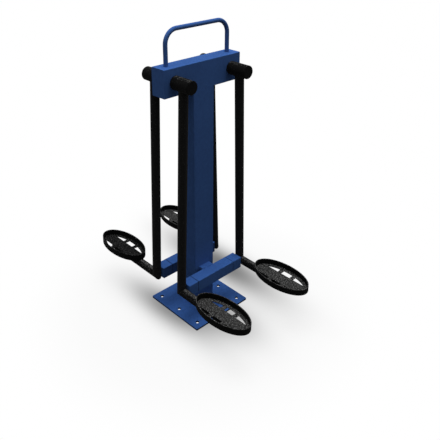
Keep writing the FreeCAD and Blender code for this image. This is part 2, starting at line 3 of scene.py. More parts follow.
import bmesh
import bpy
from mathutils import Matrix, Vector


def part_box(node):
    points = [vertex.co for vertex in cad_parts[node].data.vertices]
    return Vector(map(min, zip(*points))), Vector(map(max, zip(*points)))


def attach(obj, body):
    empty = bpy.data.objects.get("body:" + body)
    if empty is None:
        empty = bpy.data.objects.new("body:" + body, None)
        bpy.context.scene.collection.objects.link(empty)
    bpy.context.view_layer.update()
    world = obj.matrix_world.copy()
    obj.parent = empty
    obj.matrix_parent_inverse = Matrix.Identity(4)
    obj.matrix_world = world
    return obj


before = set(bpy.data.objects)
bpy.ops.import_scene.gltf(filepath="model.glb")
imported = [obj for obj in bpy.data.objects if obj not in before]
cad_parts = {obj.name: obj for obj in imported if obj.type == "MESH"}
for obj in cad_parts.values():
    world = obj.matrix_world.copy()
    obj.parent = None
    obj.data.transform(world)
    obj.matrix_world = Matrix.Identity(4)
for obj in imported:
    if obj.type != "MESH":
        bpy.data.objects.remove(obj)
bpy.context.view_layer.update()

MM = 0.001
UP = Vector((0.0, 0.0, 1.0))
FULL_TURN = 2 * math.pi
QUARTER_TURN = math.pi / 2

# The photograph's camera: where it stands, how far it is tipped and turned, and its crop.
CAMERA_SPOT = (-1.6191, -1.7927, 1.9305)
CAMERA_TIP = math.radians(64.570)
CAMERA_TURN = math.radians(-43.029)
CAMERA_LENS_MM = 46.851
CAMERA_SENSOR_MM = 36.0
CAMERA_SHIFT = (0.02995, -0.12741)

# A soft white dome: a bright pool overhead that leans to the rear right, and an even fill.
# The pool's sharpness is a power of the height above the horizon.
OVERHEAD_POOL = 1.5
OVERHEAD_SHARPNESS = 9.0
OVERHEAD_LEAN = (0.6, 0.9, 0.0)
EVEN_FILL = 0.232
# A strength of 1 shows as plain white.
BACKDROP_STRENGTH = 1.0
# A round softbox high over the trainer, so that its upper parts are lit more than its lower ones.
SOFTBOX_SPOT = (0.3, -0.3, 6.0)
SOFTBOX_ACROSS = 3.4
SOFTBOX_POWER = 132.0

# The floor: just below the plate, with little bounce, and with shadows that fade out between two distances.
FLOOR_SIDE = 14.0
FLOOR_DROP = 0.2 * MM
FLOOR_WHITE = (0.96, 0.96, 0.96, 1.0)
FLOOR_PALE_GRAIN = (0.98, 0.98, 0.98, 1.0)
FLOOR_GRAINS_PER_METRE = 300.0
FLOOR_BOUNCE = (0.03, 0.03, 0.03, 1.0)
FLOOR_FADE = (0.55, 0.95)
FLOOR_SHADOW_SHARE = 0.16
PLATE_MARGIN = 2 * MM
# Painted shade on the floor, under each pair of arms and under the front of the plate: how deep each one is,
# where its middle lies, and how far it spreads in X and Y.
PAINTED_FLOOR_SHADES = {
    "left_arms": (0.67, (-0.167, 0.050), (0.098, 0.299)),
    "right_arms": (0.79, (0.301, 0.152), (0.121, 0.428)),
    "plate_front": (0.59, (-0.007, -0.159), (0.125, 0.245)),
}
SHADE_POWER = 2.31

# Colours, as linear red, green and blue.
WHITE = (1.0, 1.0, 1.0, 1.0)
NO_LIGHT = (0.0, 0.0, 0.0, 1.0)
MID_GREY = (0.5, 0.5, 0.5, 1.0)
BLUE = (0.0457, 0.140, 0.455, 1.0)
# Blue as upright faces show it, greyer than on tops: painted shading.
BLUE_SHADED_SIDES = (0.0533, 0.133, 0.378, 1.0)
BLACK = (0.0075, 0.0075, 0.0075, 1.0)
DEEP_BLACK = (0.0042, 0.0042, 0.0042, 1.0)
# Pale grains of the coat, which on tops also stand as painted glints.
PALE_SPECK_AND_GLINT = (0.240, 0.240, 0.238, 1.0)
# Pale grey dust, which on black parts also stands as a painted highlight on what faces up.
DUST_AND_HIGHLIGHT = (0.190, 0.190, 0.188, 1.0)
# Near black blue, for grime in joints and for painted shade.
GRIME_AND_SHADE = (0.006, 0.010, 0.022, 1.0)
STEEL_TONES = ((0.42, 0.42, 0.43, 1.0), (0.62, 0.62, 0.63, 1.0))
BUSH_TONES = ((0.03, 0.03, 0.03, 1.0), (0.06, 0.058, 0.055, 1.0))

ENDS = {"front": -1, "rear": 1}
SIDES = {"left": -1, "right": 1}
ARMS = [(end, side) for end in ENDS for side in SIDES]


# Helpers for shader nodes.

FLOAT = "NodeSocketFloat"
COLOUR = "NodeSocketColor"
# Sockets of the mix node by number, because those for values and for colours share their names.
FIRST_VALUE = 2
SECOND_VALUE = 3
MIXED_VALUE = 0
FIRST_COLOUR = 6
SECOND_COLOUR = 7
MIXED_COLOUR = 2


def feed_inputs(tree, node, feeds):
    """Gives a node's inputs plain values or other nodes' outputs."""
    for key, feed in feeds.items():
        if isinstance(feed, bpy.types.NodeSocket):
            tree.links.new(feed, node.inputs[key])
        else:
            node.inputs[key].default_value = feed


def put(tree, kind, feeds=None, **settings):
    """Adds a node, sets it up and feeds its inputs."""
    node = tree.nodes.new(kind)
    for key, setting in settings.items():
        setattr(node, key, setting)
    feed_inputs(tree, node, feeds or {})
    return node


def reckon(tree, operation, *feeds):
    return put(tree, "ShaderNodeMath", dict(enumerate(feeds)), operation=operation).outputs[0]


def ease(tree, feed, low, high, start=0.0, stop=1.0):
    """Goes smoothly from start to stop as the feed goes from low to high."""
    feeds = {"Value": feed, "From Min": low, "From Max": high, "To Min": start, "To Max": stop}
    return put(tree, "ShaderNodeMapRange", feeds, interpolation_type="SMOOTHSTEP").outputs["Result"]


def noise(tree, place, scale, detail=2.0, roughness=0.5):
    feeds = {"Vector": place, "Scale": scale, "Detail": detail, "Roughness": roughness}
    return put(tree, "ShaderNodeTexNoise", feeds).outputs["Fac"]


def sized_noise(tree, place, size, **settings):
    """Noise with its scale given as a size in metres."""
    return noise(tree, place, reckon(tree, "DIVIDE", 1.0, size), **settings)


def mix_colour(tree, share, first, second):
    feeds = {"Factor": share, FIRST_COLOUR: first, SECOND_COLOUR: second}
    return put(tree, "ShaderNodeMix", feeds, data_type="RGBA").outputs[MIXED_COLOUR]


def coordinates_of(tree):
    return put(tree, "ShaderNodeTexCoord").outputs


def split(tree, vector):
    """A vector's shares along X, Y and Z."""
    return put(tree, "ShaderNodeSeparateXYZ", {"Vector": vector}).outputs


def new_group(name, inputs, outputs):
    """A node group with named sockets. Returns it with its input sockets and its output node."""
    group = bpy.data.node_groups.new(name, "ShaderNodeTree")
    for label, kind, start in inputs:
        socket = group.interface.new_socket(label, in_out="INPUT", socket_type=kind)
        socket.default_value = start
    for label, kind in outputs:
        group.interface.new_socket(label, in_out="OUTPUT", socket_type=kind)
    return group, put(group, "NodeGroupInput").outputs, put(group, "NodeGroupOutput")


def place_group(tree, group, labels, values):
    """Places a shared effect in a material with its own values. Returns its outputs."""
    node = put(tree, "ShaderNodeGroup", node_tree=group)
    feed_inputs(tree, node, dict(zip(labels, values)))
    return node.outputs


# Effects that several finishes share.

# Where they set in and where they are full. A slope is the upward share of the way that a surface faces:
# 1 on a level top, 0 on an upright face and -1 on an underside. A tone is a value of the noise.
# Painted shading: upright faces take their own colour between the first slopes, and undersides are painted
# darker between the next.
SHADED_SIDE_SLOPES = (0.2, 0.9)
PAINTED_UNDERSIDE_SLOPES = (-0.9, 0.0)
PAINTED_UNDERSIDE_SHADE = 0.25
PATCH_TONES = (0.38, 0.62)
# Dust, and on black parts a painted top highlight, sets in between these slopes.
DUST_AND_HIGHLIGHT_SLOPES = (0.8, 1.0)
DUST_AND_HIGHLIGHT_EDGE = 0.07
# A pale grain shows where its tone passes a threshold, which drops as the cover grows.
COARSE_SPECK_SHARE = 0.6
FINE_SPECK_SHARE = 0.4
BARE_THRESHOLD = 0.66
COVER_DROP = 0.32
SPECK_EDGE = 0.16
# The grains are painted fainter on upright faces: painted glints on tops.
GLINT_SLOPES = (0.0, 0.8)
UPRIGHT_GLINT_SHARE = 0.25
# The grime's band has a ragged edge, and the faces that look at the post get painted shade. What faces away
# from the post along Y counts as positive.
RAGS_PER_METRE = 200.0
RAGGED_SHARE = 0.4
GRIME_EDGE = (0.4, 0.9)
SHADED_TURNED_TO_POST = (-0.9, -0.3)


def coat_skin_group():
    """The skin of a powder coat: soft orange peel with finer grit on it."""
    inputs = [("Peel Size", FLOAT, 4 * MM), ("Grit Size", FLOAT, 1 * MM), ("Grit Share", FLOAT, 0.3)]
    group, given, result = new_group("coat_skin", inputs, [("Height", FLOAT)])
    place = coordinates_of(group)["Object"]
    peel = sized_noise(group, place, given["Peel Size"], detail=1.0)
    grit = sized_noise(group, place, given["Grit Size"], detail=2.0, roughness=0.6)
    shared_grit = reckon(group, "MULTIPLY", grit, given["Grit Share"])
    group.links.new(reckon(group, "ADD", peel, shared_grit), result.inputs["Height"])
    return group


def coat_colour_and_shading_group():
    """Paint in cloudy patches and fine mottling, with painted shading: its own colour on upright faces, and
    painted shade on undersides.
    """
    inputs = [
        ("Colour", COLOUR, MID_GREY),
        ("Shaded Side Colour", COLOUR, MID_GREY),
        ("Deepest Share", FLOAT, 0.9),
        ("Cloud Size", FLOAT, 100 * MM),
        ("Mottle Size", FLOAT, 6 * MM),
    ]
    group, given, result = new_group("coat_colour_and_shading", inputs, [("Colour", COLOUR)])
    coordinates = coordinates_of(group)
    place = coordinates["Object"]
    slope = split(group, coordinates["Normal"])["Z"]
    # Upright faces get a greyer colour as painted shading.
    painted_side_shading = ease(group, slope, *SHADED_SIDE_SLOPES, 1.0, 0.0)
    paint = mix_colour(group, painted_side_shading, given["Colour"], given["Shaded Side Colour"])
    cloud = sized_noise(group, place, given["Cloud Size"], detail=3.0)
    mottle = sized_noise(group, place, given["Mottle Size"], detail=2.0, roughness=0.6)
    mean = reckon(group, "MULTIPLY", reckon(group, "ADD", cloud, mottle), 0.5)
    depth = ease(group, mean, *PATCH_TONES, 1.0, given["Deepest Share"])
    # Undersides are painted darker, as painted shade.
    underside_shade = ease(group, slope, *PAINTED_UNDERSIDE_SLOPES, PAINTED_UNDERSIDE_SHADE, 1.0)
    scale = reckon(group, "MULTIPLY", depth, underside_shade)
    mottled = put(group, "ShaderNodeVectorMath", {0: paint, "Scale": scale}, operation="SCALE")
    group.links.new(mottled.outputs["Vector"], result.inputs["Colour"])
    return group


def dust_and_highlight_group():
    """Where dust lies and a top highlight is painted: on what faces up, in specks and thin patches."""
    inputs = [
        ("Amount", FLOAT, 0.2),
        ("Speck Size", FLOAT, 7 * MM),
        ("Evenness", FLOAT, 0.5),
        ("Sparseness", FLOAT, 0.42),
    ]
    group, given, result = new_group("dust_and_top_highlight", inputs, [("Mask", FLOAT)])
    coordinates = coordinates_of(group)
    # Dust and a painted highlight lie on what faces up.
    facing_up = ease(group, split(group, coordinates["Normal"])["Z"], *DUST_AND_HIGHLIGHT_SLOPES)
    speck = sized_noise(group, coordinates["Object"], given["Speck Size"], detail=3.0, roughness=0.65)
    patch = ease(group, reckon(group, "SUBTRACT", speck, given["Sparseness"]), 0.0, DUST_AND_HIGHLIGHT_EDGE)
    uneven = reckon(group, "MULTIPLY", patch, reckon(group, "SUBTRACT", 1.0, given["Evenness"]))
    cover = reckon(group, "ADD", uneven, given["Evenness"])
    laid = reckon(group, "MULTIPLY", reckon(group, "MULTIPLY", cover, facing_up), given["Amount"])
    group.links.new(laid, result.inputs["Mask"])
    return group


def pale_specks_and_glints_group():
    """Pale grains in a textured coat: fine ones among coarse ones, painted brighter on tops than on upright
    faces as painted glints.
    """
    inputs = [("Coarse Size", FLOAT, 6 * MM), ("Fine Size", FLOAT, 1 * MM), ("Cover", FLOAT, 0.3)]
    group, given, result = new_group("pale_specks_and_glints", inputs, [("Mask", FLOAT)])
    coordinates = coordinates_of(group)
    place = coordinates["Object"]
    slope = split(group, coordinates["Normal"])["Z"]
    coarse = sized_noise(group, place, given["Coarse Size"], detail=1.0)
    fine = sized_noise(group, place, given["Fine Size"], detail=1.0)
    shared_coarse = reckon(group, "MULTIPLY", coarse, COARSE_SPECK_SHARE)
    shared_fine = reckon(group, "MULTIPLY", fine, FINE_SPECK_SHARE)
    grain = reckon(group, "ADD", shared_coarse, shared_fine)
    drop = reckon(group, "MULTIPLY", given["Cover"], COVER_DROP)
    threshold = reckon(group, "SUBTRACT", BARE_THRESHOLD, drop)
    shown = ease(group, reckon(group, "SUBTRACT", grain, threshold), 0.0, SPECK_EDGE)
    # Painted glints: the grains show less on upright faces.
    strength = ease(group, slope, *GLINT_SLOPES, UPRIGHT_GLINT_SHARE, 1.0)
    group.links.new(reckon(group, "MULTIPLY", shown, strength), result.inputs["Mask"])
    return group


def joint_grime_and_shade_group():
    """Dirt in a narrow ragged band where a buffer meets its bar, and painted shade on their faces that look
    at the post.
    """
    inputs = [
        ("Reach", FLOAT, 100 * MM),
        ("Width", FLOAT, 4 * MM),
        ("Amount", FLOAT, 0.8),
        ("Painted Shade Amount", FLOAT, 0.5),
    ]
    group, given, result = new_group("joint_grime_and_shade", inputs, [("Mask", FLOAT)])
    coordinates = coordinates_of(group)
    place = coordinates["Object"]
    spot = split(group, place)
    facing = split(group, coordinates["Normal"])
    off_middle = reckon(group, "ABSOLUTE", spot["X"])
    off_joint = reckon(group, "ABSOLUTE", reckon(group, "SUBTRACT", off_middle, given["Reach"]))
    share = reckon(group, "DIVIDE", off_joint, given["Width"])
    rags = reckon(group, "MULTIPLY", noise(group, place, RAGS_PER_METRE), RAGGED_SHARE)
    band = ease(group, reckon(group, "ADD", share, rags), *GRIME_EDGE, 1.0, 0.0)
    in_joint = reckon(group, "MULTIPLY", band, given["Amount"])
    facing_out = reckon(group, "MULTIPLY", reckon(group, "SIGN", spot["Y"]), facing["Y"])
    # Painted shade on faces that look at the post.
    painted_shade = ease(group, facing_out, *SHADED_TURNED_TO_POST, given["Painted Shade Amount"], 0.0)
    group.links.new(reckon(group, "MAXIMUM", in_joint, painted_shade), result.inputs["Mask"])
    return group


COAT_SKIN = coat_skin_group()
COAT_COLOUR_AND_SHADING = coat_colour_and_shading_group()
DUST_AND_TOP_HIGHLIGHT = dust_and_highlight_group()
PALE_SPECKS_AND_GLINTS = pale_specks_and_glints_group()
JOINT_GRIME_AND_SHADE = joint_grime_and_shade_group()


# Finishes.

# The patches and the mottling of the paint, and the heights of its skin between which it gets rougher.
CLOUD_SIZE = 160 * MM
MOTTLE_SIZE = 14 * MM
SKIN_HEIGHTS = (0.3, 0.9)
# Painted shade on the plate's edges: it is full on faces that look to the front and rear, and thinner on the
# others.
EDGE_SLOPES = (0.2, 0.8)
TURNED_TO_ENDS = (0.0, 0.6)
OTHER_EDGE_SHARE = 0.45
SHADE_PATCHES_PER_METRE = 90.0
SHADE_PATCH_TONES = (0.25, 0.5)
THIN_SHADE_SHARE = 0.85
# Turning lines are drawn out round the axis, so their noise is finest along Y.
TURNING_STRETCH = (40.0, 4000.0, 40.0)
TURNING_DEPTH = 0.02 * MM
STEEL_ROUGHNESS = (0.22, 0.4)
BUSH_FLOWS_PER_METRE = 260.0
BUSH_FLOW_DEPTH = 0.03 * MM
BUSH_ROUGHNESS = (0.45, 0.6)
ROUGHNESS_TONES = (0.3, 0.7)


def new_finish(name):
    """An empty material with its shader. Returns the material, its node tree and the shader."""
    finish = bpy.data.materials.new(name)
    finish.use_nodes = True
    tree = finish.node_tree
    return finish, tree, tree.nodes["Principled BSDF"]


def painted_edge_shade(tree, amount):
    """Painted shade on a plate's edges and in its holes, in patches, deepest on what looks to the front and
    rear.
    """
    coordinates = coordinates_of(tree)
    facing = split(tree, coordinates["Normal"])
    upright = ease(tree, reckon(tree, "ABSOLUTE", facing["Z"]), *EDGE_SLOPES, amount, 0.0)
    to_ends = ease(tree, reckon(tree, "ABSOLUTE", facing["Y"]), *TURNED_TO_ENDS, OTHER_EDGE_SHARE, 1.0)
    cloud = noise(tree, coordinates["Object"], SHADE_PATCHES_PER_METRE, detail=3.0)
    patches = ease(tree, cloud, *SHADE_PATCH_TONES, THIN_SHADE_SHARE, 1.0)
    return reckon(tree, "MULTIPLY", reckon(tree, "MULTIPLY", upright, to_ends), patches)


def powder_coat(name, paint, skin, specks, dust, roughness, gloss, joint=None, edge_shade=None):
    """A painted surface with a fine skin, its dust and grime, and painted shade and highlights.

    paint is (colour, colour on upright faces as painted shading, share of it left in the deepest patches),
    skin is (peel size, grit size, share of grit, depth), the pale specks with their painted glints are
    (coarse size, fine size, cover) or None, dust with its painted top highlight is (amount, speck size,
    evenness, sparseness) and roughness is (least, most).
    joint is (reach, width, amount, amount of painted shade on faces that look at the post) of the grime by a
    joint.
    The edge amount is how much painted shade the upright faces get.
    """
    finish, tree, shader = new_finish(name)
    *skin_make, skin_depth = skin
    height = place_group(tree, COAT_SKIN, ("Peel Size", "Grit Size", "Grit Share"), skin_make)["Height"]
    paint_labels = ("Colour", "Shaded Side Colour", "Deepest Share", "Cloud Size", "Mottle Size")
    colour = place_group(tree, COAT_COLOUR_AND_SHADING, paint_labels, (*paint, CLOUD_SIZE, MOTTLE_SIZE))["Colour"]
    if specks:
        speck_and_glint_mask = place_group(tree, PALE_SPECKS_AND_GLINTS, ("Coarse Size", "Fine Size", "Cover"), specks)["Mask"]
        # Pale specks, with painted glints on tops.
        colour = mix_colour(tree, speck_and_glint_mask, colour, PALE_SPECK_AND_GLINT)
    dust_and_highlight_labels = ("Amount", "Speck Size", "Evenness", "Sparseness")
    dust_and_highlight_mask = place_group(tree, DUST_AND_TOP_HIGHLIGHT, dust_and_highlight_labels, dust)["Mask"]
    # Dust, with a painted highlight on tops.
    colour = mix_colour(tree, dust_and_highlight_mask, colour, DUST_AND_HIGHLIGHT)
    if joint:
        joint_labels = ("Reach", "Width", "Amount", "Painted Shade Amount")
        grime_and_shade_mask = place_group(tree, JOINT_GRIME_AND_SHADE, joint_labels, joint)["Mask"]
        # Joint grime, with painted shade on faces that look at the post.
        colour = mix_colour(tree, grime_and_shade_mask, colour, GRIME_AND_SHADE)
    if edge_shade:
        # Painted shade on upright faces.
        colour = mix_colour(tree, painted_edge_shade(tree, edge_shade), colour, GRIME_AND_SHADE)
    rough = ease(tree, height, *SKIN_HEIGHTS, *roughness)
    bump = put(tree, "ShaderNodeBump", {"Height": height, "Distance": skin_depth})
    tree.links.new(colour, shader.inputs["Base Color"])
    tree.links.new(rough, shader.inputs["Roughness"])
    tree.links.new(bump.outputs["Normal"], shader.inputs["Normal"])
    shader.inputs["Specular IOR Level"].default_value = gloss
    return finish


def turned_steel():
    """Bright steel with fine turning lines round its axis, which runs front to back."""
    finish, tree, shader = new_finish("turned_steel")
    place = coordinates_of(tree)["Object"]
    stretch = put(tree, "ShaderNodeMapping", {"Vector": place, "Scale": TURNING_STRETCH})
    lines = noise(tree, stretch.outputs["Vector"], scale=1.0, detail=3.0)
    tone = mix_colour(tree, lines, *STEEL_TONES)
    bump = put(tree, "ShaderNodeBump", {"Height": lines, "Distance": TURNING_DEPTH})
    tree.links.new(tone, shader.inputs["Base Color"])
    tree.links.new(ease(tree, lines, *ROUGHNESS_TONES, *STEEL_ROUGHNESS), shader.inputs["Roughness"])
    tree.links.new(bump.outputs["Normal"], shader.inputs["Normal"])
    shader.inputs["Metallic"].default_value = 1.0
    return finish


def bush_polymer():
    """Dull dark plastic for the plain bushes."""
    finish, tree, shader = new_finish("bush_polymer")
    flow = noise(tree, coordinates_of(tree)["Object"], BUSH_FLOWS_PER_METRE, detail=3.0)
    tone = mix_colour(tree, flow, *BUSH_TONES)
    bump = put(tree, "ShaderNodeBump", {"Height": flow, "Distance": BUSH_FLOW_DEPTH})
    tree.links.new(tone, shader.inputs["Base Color"])
    tree.links.new(ease(tree, flow, *ROUGHNESS_TONES, *BUSH_ROUGHNESS), shader.inputs["Roughness"])
    tree.links.new(bump.outputs["Normal"], shader.inputs["Normal"])
    return finish


# What the painted finishes share, in the order that powder_coat gives.
BLUE_PAINT = (BLUE, BLUE_SHADED_SIDES, 0.89)
BLACK_PAINT = (BLACK, BLACK, 0.775)
DEEP_BLACK_PAINT = (DEEP_BLACK, DEEP_BLACK, 0.77)
BLACK_SKIN = (3.0 * MM, 0.9 * MM, 0.7, 0.18 * MM)
GRIT_SKIN = (5.0 * MM, 1.3 * MM, 0.8, 0.35 * MM)
HUB_SPECKS_AND_GLINTS = (5 * MM, 1.1 * MM, 0.10)
# The hubs' tops are fully covered: dust together with a painted highlight.
HUB_DUST_AND_HIGHLIGHT = (1.0, 5 * MM, 0.0, 0.57)
BLACK_ROUGHNESS = (0.85, 1.0)
BLUE_GLOSS = 0.17
HUB_GLOSS = 0.08
FOOT_GLOSS = 0.06
# The last value is the painted shade on faces that look at the post.
BUFFER_JOINT = (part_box("bumper_bar_front")[1].x, 3.5 * MM, 0.85, 0.5)
BLUE_COAT = {
    "paint": BLUE_PAINT,
    "skin": (2.6 * MM, 0.7 * MM, 0.2, 0.05 * MM),
    "specks": None,
    "dust": (0.008, 12 * MM, 0.2, 0.45),
    "roughness": (0.88, 1.0),
    "gloss": BLUE_GLOSS,
}

FINISHES = {
    "blue_coat": powder_coat("blue_powder_coat", **BLUE_COAT),
    # The plate's upright faces and hole walls get painted shade.
    "blue_plate": powder_coat("blue_plate_coat", **BLUE_COAT, edge_shade=0.95),
    "blue_bar": powder_coat("blue_bar_coat", **BLUE_COAT, joint=BUFFER_JOINT),
    "blue_buffer": powder_coat(
        "blue_buffer_plastic",
        BLUE_PAINT,
        skin=(1.2 * MM, 0.4 * MM, 0.4, 0.04 * MM),
        specks=None,
        dust=(0.008, 9 * MM, 0.2, 0.45),
        roughness=(0.90, 1.0),
        gloss=BLUE_GLOSS,
        joint=BUFFER_JOINT,
    ),
    "black_coat": powder_coat(
        "black_textured_coat",
        BLACK_PAINT,
        BLACK_SKIN,
        specks=(5 * MM, 1.1 * MM, 0.26),
        dust=(0.4, 5 * MM, 0.0, 0.55),
        roughness=BLACK_ROUGHNESS,
        gloss=0.13,
    ),
    "hub_coat": powder_coat(
        "hub_black_coat",
        DEEP_BLACK_PAINT,
        BLACK_SKIN,
        HUB_SPECKS_AND_GLINTS,
        HUB_DUST_AND_HIGHLIGHT,
        BLACK_ROUGHNESS,
        HUB_GLOSS,
    ),
    "black_cap": powder_coat(
        "black_cap_coat",
        DEEP_BLACK_PAINT,
        (3.0 * MM, 0.9 * MM, 0.5, 0.10 * MM),
        HUB_SPECKS_AND_GLINTS,
        HUB_DUST_AND_HIGHLIGHT,
        BLACK_ROUGHNESS,
        HUB_GLOSS,
    ),
    "tray_grit": powder_coat(
        "tray_grit_coat",
        DEEP_BLACK_PAINT,
        GRIT_SKIN,
        specks=(3.6 * MM, 1.3 * MM, 0.22),
        dust=(0.96, 4.8 * MM, 0.10, 0.53),
        roughness=BLACK_ROUGHNESS,
        gloss=FOOT_GLOSS,
    ),
    # The rear left tray has less dust and highlight than the others: painted darker, as painted shade.
    "clean_tray_grit": powder_coat(
        "shaded_tray_grit_coat",
        DEEP_BLACK_PAINT,
        GRIT_SKIN,
        specks=(3.6 * MM, 1.3 * MM, 0.26),
        dust=(0.25, 5.5 * MM, 0.0, 0.55),
        roughness=BLACK_ROUGHNESS,
        gloss=FOOT_GLOSS,
    ),
    # The foot tubes: deep black, with dust and a painted highlight along their tops.
    "dusty_highlit_coat": powder_coat(
        "dusty_highlit_black_coat",
        DEEP_BLACK_PAINT,
        BLACK_SKIN,
        specks=(4 * MM, 1.1 * MM, 0.30),
        dust=(1.0, 5 * MM, 0.1, 0.51),
        roughness=BLACK_ROUGHNESS,
        gloss=FOOT_GLOSS,
    ),
    "bright_steel": turned_steel(),
    "bush_polymer": bush_polymer(),
}

# Pieces whose finish differs from the rest of their material slot, by the start of their names; some differ
# by painted shade or a painted highlight.
OWN_FINISHES = {
    "base_plate": "blue_plate",
    "bumper_bar": "blue_bar",
    "hub_housing": "hub_coat",
    "foot_tube": "dusty_highlit_coat",
    "foot_tray_rear_left": "clean_tray_grit",
}


def finish_of(name, slot):
    for start, own_finish in OWN_FINISHES.items():
        if name.startswith(start):
            return FINISHES[own_finish]
    return FINISHES[slot]


def dress_nodes():
    """Gives each carried-over solid its own finish, or the one that stands for its material slot."""
    for name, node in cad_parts.items():
        for place in node.material_slots:
            place.material = finish_of(name, place.material.name.split(".")[0])


dress_nodes()


# Weld beads: small rippled runs of weld metal, painted over.

FRAME_BEAD = 2.2 * MM
SMALL_BEAD = 1.4 * MM
MITRE_BEAD = 0.8 * SMALL_BEAD
# How deep a bead's middle lies below its seam, as a share of its radius.
PROUD_SINK = 0.3
FLUSH_SINK = 0.9
RIPPLE_PITCH = 3.0 * MM
RIPPLE_STEPS = 4
RIPPLE_DEPTH = 0.10
RIPPLE_LEAN = 0.45
RUN_END_SHARE = 0.45
LEAST_RINGS = 8
BEAD_SIDES = 10
# Corners of the rectangular sections, and the steps that seams take round a corner and round each tube.
SECTION_CORNER = 2 * MM
BAR_CORNER = 2 * MM
CORNER_STEPS = 6
HANDLE_SEAM_STEPS = 32
SLEEVE_SEAM_STEPS = 40
ARM_SEAM_STEPS = 48


def even_turns(steps):
    """Angles at even steps round a full turn."""
    return [FULL_TURN * step / steps for step in range(steps)]


def middle(low, high):
    return (low + high) / 2


def half_span(low, high):
    return (high - low) / 2


def bead_rings(stations, closed, radius, sink):
    """Rings at even steps along a run, each with its centre, way out, way along and radius.

    A station is (point on the seam, way out of it).
    """
    points = [point for point, out in stations]
    ways_out = [out for point, out in stations]
    if closed:
        points.append(points[0])
        ways_out.append(ways_out[0])
    lengths = [0.0]
    for start, stop in zip(points, points[1:]):
        lengths.append(lengths[-1] + (stop - start).length)
    count = max(LEAST_RINGS, round(lengths[-1] / RIPPLE_PITCH) * RIPPLE_STEPS)
    rings = []
    piece = 0
    for number in range(count if closed else count + 1):
        reach = lengths[-1] * number / count
        while piece < len(points) - 2 and lengths[piece + 1] < reach:
            piece += 1
        share = (reach - lengths[piece]) / (lengths[piece + 1] - lengths[piece])
        point = points[piece].lerp(points[piece + 1], share)
        out = ways_out[piece].lerp(ways_out[piece + 1], share).normalized()
        along = (points[piece + 1] - points[piece]).normalized()
        out = (out - along * out.dot(along)).normalized()
        phase = (number % RIPPLE_STEPS) / RIPPLE_STEPS
        swell = 1.0 + RIPPLE_DEPTH * (math.sin(math.pi * phase) - 0.5)
        if not closed:
            ending = min(number, count - number) / RIPPLE_STEPS
            swell *= min(1.0, RUN_END_SHARE + (1.0 - RUN_END_SHARE) * ending)
        rings.append((point - out * radius * sink, out, along, radius * swell))
    return rings


def weld_bead(name, stations, radius, body, slot, closed=True, sink=PROUD_SINK):
    """A closed skin round the run: each ring leans along it, as a weld pool's ripples do."""
    shape = bmesh.new()
    loops = []
    for centre, out, along, swell in bead_rings(stations, closed, radius, sink):
        across = along.cross(out)
        loop = []
        for turn in even_turns(BEAD_SIDES):
            lean = along * (swell * RIPPLE_LEAN * math.cos(turn))
            spot = centre + out * (swell * math.cos(turn)) + across * (swell * math.sin(turn)) + lean
            loop.append(shape.verts.new(spot))
        loops.append(loop)
    pairs = list(zip(loops, loops[1:]))
    if closed:
        pairs.append((loops[-1], loops[0]))
    else:
        shape.faces.new(loops[0])
        shape.faces.new(list(reversed(loops[-1])))
    for first, second in pairs:
        for step in range(BEAD_SIDES):
            after = (step + 1) % BEAD_SIDES
            shape.faces.new((first[step], second[step], second[after], first[after]))
    bmesh.ops.recalc_face_normals(shape, faces=shape.faces)
    for face in shape.faces:
        face.smooth = True
    mesh = bpy.data.meshes.new(name)
    shape.to_mesh(mesh)
    shape.free()
    mesh.materials.append(FINISHES[slot])
    piece = bpy.data.objects.new(name, mesh)
    bpy.context.scene.collection.objects.link(piece)
    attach(piece, body)


def frame_weld(name, stations, radius, **run):
    weld_bead(name, stations, radius, "frame", "blue_coat", **run)


def rounded_loop(half_width, half_height, corner):
    """Points and outward normals round a rectangle with rounded corners, in its own plane."""
    loop = []
    corners = ((1, 1), (-1, 1), (-1, -1), (1, -1))
    for quarter, (way_x, way_y) in enumerate(corners):
        for step in range(CORNER_STEPS + 1):
            turn = QUARTER_TURN * (quarter + step / CORNER_STEPS)
            normal = (math.cos(turn), math.sin(turn))
            x = way_x * (half_width - corner) + corner * normal[0]
            y = way_y * (half_height - corner) + corner * normal[1]
            loop.append(((x, y), normal))
    return loop


def post_welds():
    post_low, post_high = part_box("post")
    half_width = half_span(post_low.x, post_high.x)
    half_depth = half_span(post_low.y, post_high.y)
    foot = []
    for (x, y), (across, along) in rounded_loop(half_width, half_depth, SECTION_CORNER):
        foot.append((Vector((x, y, post_low.z)), Vector((across, along, 1.0)).normalized()))
    frame_weld("post_foot_weld", foot, FRAME_BEAD)
    for side_name, side in SIDES.items():
        run = half_depth - SECTION_CORNER
        out = Vector((side, 0.0, -1.0)).normalized()
        seam = [(Vector((side * half_width, y, post_high.z)), out) for y in (-run, run)]
        frame_weld(f"post_top_weld_{side_name}", seam, FRAME_BEAD, closed=False)
    for end_name, end in ENDS.items():
        run = half_width - SECTION_CORNER
        out = Vector((0.0, end, 0.0))
        seam = [(Vector((x, end * half_depth, post_high.z)), out) for x in (-run, run)]
        frame_weld(f"post_top_weld_{end_name}", seam, FRAME_BEAD, closed=False, sink=FLUSH_SINK)


def handle_welds():
    low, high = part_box("handle")
    tube = half_span(low.y, high.y)
    beam_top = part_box("crossbeam")[1].z
    for side_name, side in SIDES.items():
        foot = Vector((side * (high.x - tube), 0.0, beam_top))
        ring = []
        for turn in even_turns(HANDLE_SEAM_STEPS):
            flat = Vector((math.cos(turn), math.sin(turn), 0.0))
            ring.append((foot + flat * tube, (flat + UP).normalized()))
        frame_weld(f"handle_foot_weld_{side_name}", ring, SMALL_BEAD)


